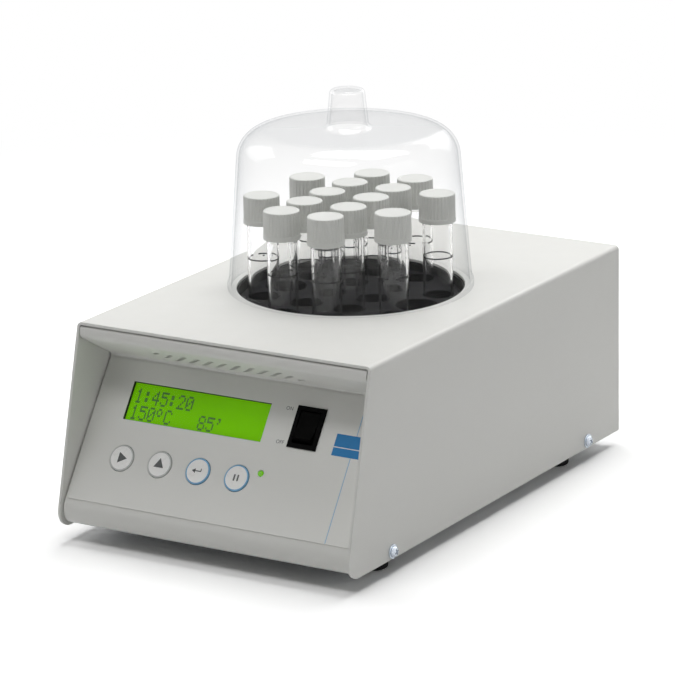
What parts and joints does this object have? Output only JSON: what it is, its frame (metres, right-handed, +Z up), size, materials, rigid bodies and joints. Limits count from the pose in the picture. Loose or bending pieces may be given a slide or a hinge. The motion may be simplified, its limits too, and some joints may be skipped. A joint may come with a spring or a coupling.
{
  "type": "chemical oxygen demand reactor",
  "caption": "Bench dry-block reactor with capped test vials in a heated block under a clear lift-off dome, in a sheet housing with a sloping panel.",
  "frame": {"origin": "on the bench surface, under the middle of the object's box", "axes": "+Z up, -Y towards the user at the control panel, +X to the user's right"},
  "size_m": [0.1804, 0.2845, 0.2196],
  "materials": {
    "painted_sheet": "fine light grey powder coat, satin",
    "plated_steel": "zinc plated sheet",
    "screw_steel": "bright zinc plated",
    "overlay_film": "silver grey printed film, satin",
    "display_lens": "clear lens over a lit green display",
    "display_green": "lit green character display",
    "circuit_board": "green solder mask",
    "key_white": "white keys",
    "lamp_green": "green lamp lens, lit",
    "switch_black": "black moulded plastic",
    "block_black": "black anodised",
    "collar_black": "black heat resistant plastic",
    "mineral_wool": "pressed mineral wool",
    "heater_metal": "cast plate",
    "vial_glass": "clear borosilicate glass",
    "cap_grey": "grey moulded screw cap",
    "dome_clear": "clear moulded plastic",
    "foot_rubber": "black rubber",
    "core_steel": "laminated steel and copper winding"
  },
  "bodies": {
    "housing": {"base_pan": "plated_steel", "block_collar": "collar_black", "block_posts": "plated_steel", "board_standoffs": "plated_steel", "control_board": "circuit_board", "cover": "painted_sheet", "cover_screws": "screw_steel", "display_module": "display_green", "display_window": "display_lens", "foot_screws": "screw_steel", "front_panel": "painted_sheet", "heater_plate": "heater_metal", "heating_block": "block_black", "insulation_jacket": "mineral_wool", "keypad_overlay": "overlay_film", "panel_screws": "screw_steel", "power_board": "circuit_board", "power_inlet": "switch_black", "rear_panel": "painted_sheet", "rubber_feet": "foot_rubber", "status_led": "lamp_green", "switch_housing": "switch_black", "temperature_probe": "plated_steel", "thermal_cutout": "collar_black", "transformer": "core_steel"},
    "dome": {"dome": "dome_clear"},
    "rocker": {"rocker": "switch_black"},
    "fuse_drawer": {"fuse_drawer": "switch_black"},
    "key_right": {"key_right": "key_white"},
    "key_up": {"key_up": "key_white"},
    "key_enter": {"key_enter": "key_white"},
    "key_start": {"key_start": "key_white"},
    "vial_01": {"vial_01": "vial_glass"},
    "cap_01": {"cap_01": "cap_grey"},
    "vial_02": {"vial_02": "vial_glass"},
    "cap_02": {"cap_02": "cap_grey"},
    "vial_03": {"vial_03": "vial_glass"},
    "cap_03": {"cap_03": "cap_grey"},
    "vial_04": {"vial_04": "vial_glass"},
    "cap_04": {"cap_04": "cap_grey"},
    "vial_05": {"vial_05": "vial_glass"},
    "cap_05": {"cap_05": "cap_grey"},
    "vial_06": {"vial_06": "vial_glass"},
    "cap_06": {"cap_06": "cap_grey"},
    "vial_07": {"vial_07": "vial_glass"},
    "cap_07": {"cap_07": "cap_grey"},
    "vial_08": {"vial_08": "vial_glass"},
    "cap_08": {"cap_08": "cap_grey"},
    "vial_09": {"vial_09": "vial_glass"},
    "cap_09": {"cap_09": "cap_grey"},
    "vial_10": {"vial_10": "vial_glass"},
    "cap_10": {"cap_10": "cap_grey"},
    "vial_11": {"vial_11": "vial_glass"},
    "cap_11": {"cap_11": "cap_grey"},
    "vial_12": {"vial_12": "vial_glass"},
    "cap_12": {"cap_12": "cap_grey"},
    "vial_13": {"vial_13": "vial_glass"},
    "cap_13": {"cap_13": "cap_grey"},
    "vial_14": {"vial_14": "vial_glass"},
    "cap_14": {"cap_14": "cap_grey"}
  },
  "joints": [
    {"name": "dome_lift", "type": "slide", "parent": "housing", "child": "dome", "axis": [0, 0, 1], "range_m": [0, 0.12]},
    {"name": "key_right_press", "type": "slide", "parent": "housing", "child": "key_right", "axis": [0, 0.8211, -0.5707], "range_m": [0, 0.0005], "stiffness_N_per_m": 2000, "springref_m": -0.0005},
    {"name": "key_up_press", "type": "slide", "parent": "housing", "child": "key_up", "axis": [0, 0.8211, -0.5707], "range_m": [0, 0.0005], "stiffness_N_per_m": 2000, "springref_m": -0.0005},
    {"name": "key_enter_press", "type": "slide", "parent": "housing", "child": "key_enter", "axis": [0, 0.8211, -0.5707], "range_m": [0, 0.0005], "stiffness_N_per_m": 2000, "springref_m": -0.0005},
    {"name": "key_start_press", "type": "slide", "parent": "housing", "child": "key_start", "axis": [0, 0.8211, -0.5707], "range_m": [0, 0.0005], "stiffness_N_per_m": 2000, "springref_m": -0.0005},
    {"name": "rocker_tilt", "type": "hinge", "parent": "housing", "child": "rocker", "pos_m": [0.04175, -0.10405, 0.06991], "axis": [1, 0, 0], "range_deg": [0, 20]},
    {"name": "fuse_drawer_slide", "type": "slide", "parent": "housing", "child": "fuse_drawer", "axis": [0, 1, 0], "range_m": [0, 0.018]},
    {"name": "vial_01_lift", "type": "slide", "parent": "housing", "child": "vial_01", "axis": [0, 0, 1], "range_m": [0, 0.008]},
    {"name": "cap_01_turn", "type": "hinge", "parent": "vial_01", "child": "cap_01", "pos_m": [-0.0133, -0.0387, 0.147], "axis": [0, 0, 1], "range_deg": [0, 540]},
    {"name": "vial_02_lift", "type": "slide", "parent": "housing", "child": "vial_02", "axis": [0, 0, 1], "range_m": [0, 0.008]},
    {"name": "cap_02_turn", "type": "hinge", "parent": "vial_02", "child": "cap_02", "pos_m": [0.0133, -0.0387, 0.147], "axis": [0, 0, 1], "range_deg": [0, 540]},
    {"name": "vial_03_lift", "type": "slide", "parent": "housing", "child": "vial_03", "axis": [0, 0, 1], "range_m": [0, 0.008]},
    {"name": "cap_03_turn", "type": "hinge", "parent": "vial_03", "child": "cap_03", "pos_m": [-0.0399, -0.0161, 0.147], "axis": [0, 0, 1], "range_deg": [0, 540]},
    {"name": "vial_04_lift", "type": "slide", "parent": "housing", "child": "vial_04", "axis": [0, 0, 1], "range_m": [0, 0.032]},
    {"name": "cap_04_turn", "type": "hinge", "parent": "vial_04", "child": "cap_04", "pos_m": [-0.0133, -0.0161, 0.147], "axis": [0, 0, 1], "range_deg": [0, 540]},
    {"name": "vial_05_lift", "type": "slide", "parent": "housing", "child": "vial_05", "axis": [0, 0, 1], "range_m": [0, 0.032]},
    {"name": "cap_05_turn", "type": "hinge", "parent": "vial_05", "child": "cap_05", "pos_m": [0.0133, -0.0161, 0.147], "axis": [0, 0, 1], "range_deg": [0, 540]},
    {"name": "vial_06_lift", "type": "slide", "parent": "housing", "child": "vial_06", "axis": [0, 0, 1], "range_m": [0, 0.008]},
    {"name": "cap_06_turn", "type": "hinge", "parent": "vial_06", "child": "cap_06", "pos_m": [0.0399, -0.0161, 0.147], "axis": [0, 0, 1], "range_deg": [0, 540]},
    {"name": "vial_07_lift", "type": "slide", "parent": "housing", "child": "vial_07", "axis": [0, 0, 1], "range_m": [0, 0.032]},
    {"name": "cap_07_turn", "type": "hinge", "parent": "vial_07", "child": "cap_07", "pos_m": [-0.0133, 0.0065, 0.147], "axis": [0, 0, 1], "range_deg": [0, 540]},
    {"name": "vial_08_lift", "type": "slide", "parent": "housing", "child": "vial_08", "axis": [0, 0, 1], "range_m": [0, 0.032]},
    {"name": "cap_08_turn", "type": "hinge", "parent": "vial_08", "child": "cap_08", "pos_m": [0.0133, 0.0065, 0.147], "axis": [0, 0, 1], "range_deg": [0, 540]},
    {"name": "vial_09_lift", "type": "slide", "parent": "housing", "child": "vial_09", "axis": [0, 0, 1], "range_m": [0, 0.008]},
    {"name": "cap_09_turn", "type": "hinge", "parent": "vial_09", "child": "cap_09", "pos_m": [-0.0399, 0.0291, 0.147], "axis": [0, 0, 1], "range_deg": [0, 540]},
    {"name": "vial_10_lift", "type": "slide", "parent": "housing", "child": "vial_10", "axis": [0, 0, 1], "range_m": [0, 0.032]},
    {"name": "cap_10_turn", "type": "hinge", "parent": "vial_10", "child": "cap_10", "pos_m": [-0.0133, 0.0291, 0.147], "axis": [0, 0, 1], "range_deg": [0, 540]},
    {"name": "vial_11_lift", "type": "slide", "parent": "housing", "child": "vial_11", "axis": [0, 0, 1], "range_m": [0, 0.032]},
    {"name": "cap_11_turn", "type": "hinge", "parent": "vial_11", "child": "cap_11", "pos_m": [0.0133, 0.0291, 0.147], "axis": [0, 0, 1], "range_deg": [0, 540]},
    {"name": "vial_12_lift", "type": "slide", "parent": "housing", "child": "vial_12", "axis": [0, 0, 1], "range_m": [0, 0.008]},
    {"name": "cap_12_turn", "type": "hinge", "parent": "vial_12", "child": "cap_12", "pos_m": [0.0399, 0.0291, 0.147], "axis": [0, 0, 1], "range_deg": [0, 540]},
    {"name": "vial_13_lift", "type": "slide", "parent": "housing", "child": "vial_13", "axis": [0, 0, 1], "range_m": [0, 0.008]},
    {"name": "cap_13_turn", "type": "hinge", "parent": "vial_13", "child": "cap_13", "pos_m": [-0.0133, 0.0517, 0.147], "axis": [0, 0, 1], "range_deg": [0, 540]},
    {"name": "vial_14_lift", "type": "slide", "parent": "housing", "child": "vial_14", "axis": [0, 0, 1], "range_m": [0, 0.008]},
    {"name": "cap_14_turn", "type": "hinge", "parent": "vial_14", "child": "cap_14", "pos_m": [0.0133, 0.0517, 0.147], "axis": [0, 0, 1], "range_deg": [0, 540]}
  ]
}
